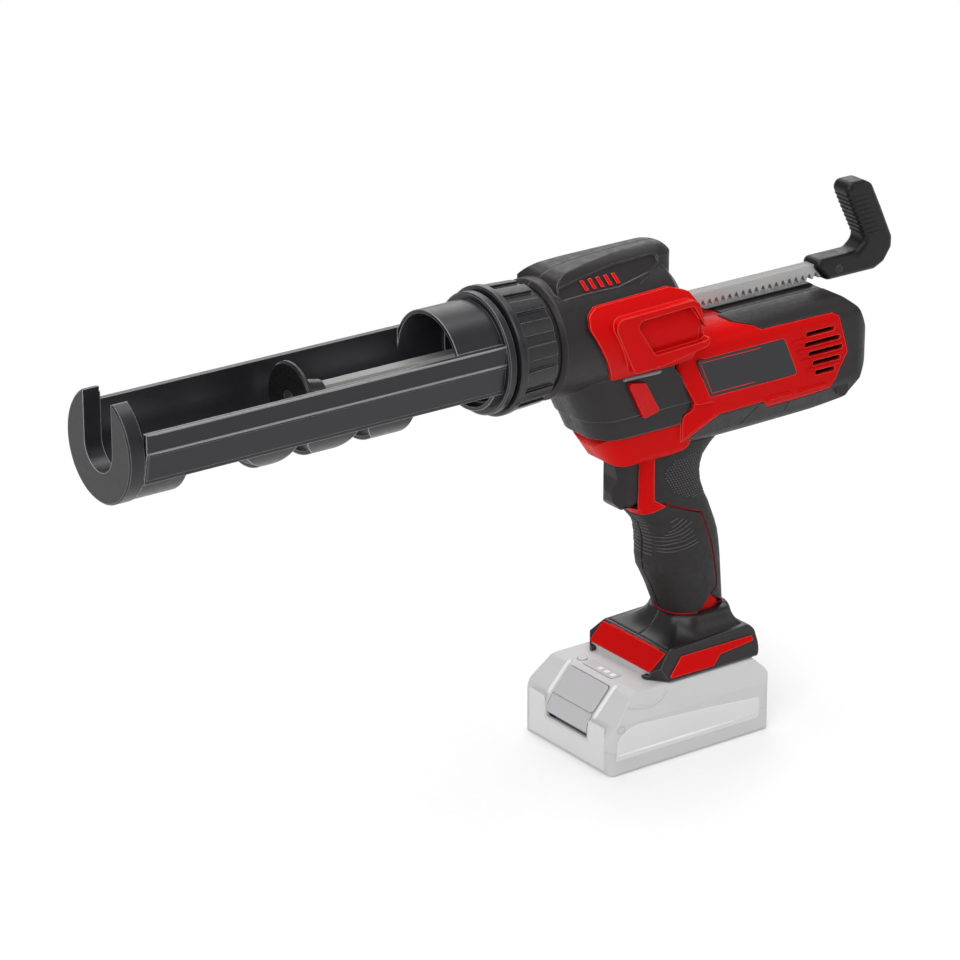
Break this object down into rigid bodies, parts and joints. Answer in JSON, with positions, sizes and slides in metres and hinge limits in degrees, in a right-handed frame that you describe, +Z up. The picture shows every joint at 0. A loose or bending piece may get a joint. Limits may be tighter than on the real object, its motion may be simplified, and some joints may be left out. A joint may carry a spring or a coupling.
{
  "type": "cordless caulking gun",
  "caption": "Battery caulking tool: open half-tube cartridge holder, toothed steel push rod with pull handle, motor body over a pistol grip with trigger, slide-on battery foot.",
  "frame": {"origin": "centre of the battery's flat underside, on which the tool stands", "axes": "+X to the rear, muzzle at -X, -Y the tool's left side, +Z up"},
  "size_m": [0.4802, 0.076, 0.278],
  "materials": {
    "red_plastic": "satin moulded red plastic",
    "dark_plastic": "fine-grained dark grey moulded plastic",
    "holder_plastic": "smooth bluish black plastic",
    "soft_grip": "soft textured overmoulding",
    "rack_steel": "bright drawn steel",
    "black_steel": "blackened steel",
    "gear_steel": "ground steel",
    "screw_steel": "dark zinc-plated steel",
    "bush_brass": "sintered bronze",
    "motor_steel": "zinc-plated steel",
    "pale_plastic": "pale grey moulded plastic",
    "grey_plastic": "mid grey moulded plastic",
    "label_plate": "bare dark plate",
    "board_green": "printed circuit board",
    "cell_wrap": "shrink-wrapped cells",
    "contact_metal": "contact blades"
  },
  "bodies": {
    "casing": {"body_shell_left": "red_plastic", "body_shell_right": "red_plastic", "casing_screws": "screw_steel", "control_board": "board_green", "foot_front_panel": "red_plastic", "foot_shell_left": "dark_plastic", "foot_shell_right": "dark_plastic", "foot_stripe_left": "red_plastic", "foot_stripe_right": "red_plastic", "gear_cover_left": "red_plastic", "gear_cover_right": "red_plastic", "gear_plate_left": "black_steel", "gear_plate_right": "black_steel", "gearbox": "motor_steel", "grip_finger_pad_left": "soft_grip", "grip_finger_pad_right": "soft_grip", "grip_palm_pad_left": "soft_grip", "grip_palm_pad_right": "soft_grip", "holder_spigot": "black_steel", "hood_bars": "red_plastic", "label_plate_left": "label_plate", "label_plate_right": "label_plate", "motor_can": "motor_steel", "motor_end_cap": "dark_plastic", "nose_shell_left": "dark_plastic", "nose_shell_right": "dark_plastic", "rack_guide_front": "black_steel", "rack_guide_rear": "black_steel", "rear_bumper_left": "dark_plastic", "rear_bumper_right": "dark_plastic", "shaft_bushes": "bush_brass", "terminal_blades": "contact_metal", "terminal_block": "dark_plastic", "trigger_switch": "dark_plastic"},
    "push_rod": {"rack_bar": "rack_steel", "pusher_disc": "black_steel", "pusher_hub": "black_steel", "pusher_screw": "screw_steel", "rack_handle": "dark_plastic", "handle_pin": "screw_steel"},
    "pinion": {"pinion_shaft": "gear_steel", "reduction_gear": "gear_steel"},
    "cross": {"cross_shaft": "gear_steel", "bevel_gear": "gear_steel"},
    "bevel_drive": {"bevel_pinion": "gear_steel"},
    "rotor": {"motor_rotor": "motor_steel", "cooling_fan": "dark_plastic"},
    "holder": {"holder_tray": "holder_plastic", "front_plate": "holder_plastic", "holder_collar": "holder_plastic"},
    "nut": {"union_nut": "holder_plastic"},
    "trigger": {"trigger": "dark_plastic"},
    "release": {"release_button": "red_plastic"},
    "battery": {"battery_base": "pale_plastic", "battery_cover": "pale_plastic", "battery_cells": "cell_wrap", "battery_board": "board_green", "charge_gauge": "grey_plastic"},
    "latch": {"latch_button": "grey_plastic"},
    "charge_key": {"charge_button": "grey_plastic"}
  },
  "joints": [
    {"name": "rack_slide", "type": "slide", "parent": "casing", "child": "push_rod", "axis": [-1, 0, 0], "range_m": [-0.116, 0.085]},
    {"name": "pinion_spin", "type": "hinge", "parent": "casing", "child": "pinion", "pos_m": [-0.03, 0, 0.221], "axis": [0, 1, 0], "continuous": true},
    {"name": "cross_spin", "type": "hinge", "parent": "casing", "child": "cross", "pos_m": [-0.03, 0, 0.194], "axis": [0, 1, 0], "continuous": true},
    {"name": "bevel_spin", "type": "hinge", "parent": "casing", "child": "bevel_drive", "pos_m": [-0.03, 0, 0.194], "axis": [1, 0, 0], "continuous": true},
    {"name": "rotor_spin", "type": "hinge", "parent": "casing", "child": "rotor", "pos_m": [0.05, 0, 0.194], "axis": [1, 0, 0], "continuous": true},
    {"name": "holder_spin", "type": "hinge", "parent": "casing", "child": "holder", "pos_m": [-0.2, 0, 0.2331], "axis": [1, 0, 0], "continuous": true},
    {"name": "nut_spin", "type": "hinge", "parent": "casing", "child": "nut", "pos_m": [-0.095, 0, 0.2331], "axis": [1, 0, 0], "continuous": true},
    {"name": "trigger_slide", "type": "slide", "parent": "casing", "child": "trigger", "axis": [1, 0, 0], "range_m": [0, 0.006], "stiffness_N_per_m": 800, "springref_m": -0.003},
    {"name": "release_press", "type": "slide", "parent": "casing", "child": "release", "axis": [0, 1, 0], "range_m": [0, 0.0016], "stiffness_N_per_m": 1500, "springref_m": -0.0015},
    {"name": "battery_slide", "type": "slide", "parent": "casing", "child": "battery", "axis": [-1, 0, 0], "range_m": [0, 0.09]},
    {"name": "latch_press", "type": "slide", "parent": "battery", "child": "latch", "axis": [0.7353, 0, -0.6777], "range_m": [0, 0.003], "stiffness_N_per_m": 1500, "springref_m": -0.0015},
    {"name": "charge_press", "type": "slide", "parent": "battery", "child": "charge_key", "axis": [0, 0, -1], "range_m": [0, 0.0008], "stiffness_N_per_m": 1200, "springref_m": -0.0008}
  ],
  "couplings": [
    {"joint": "pinion_spin", "follows": "rack_slide", "rad_per_m": -102.04},
    {"joint": "cross_spin", "follows": "rack_slide", "rad_per_m": 204.08},
    {"joint": "bevel_spin", "follows": "rack_slide", "rad_per_m": -306.12}
  ]
}
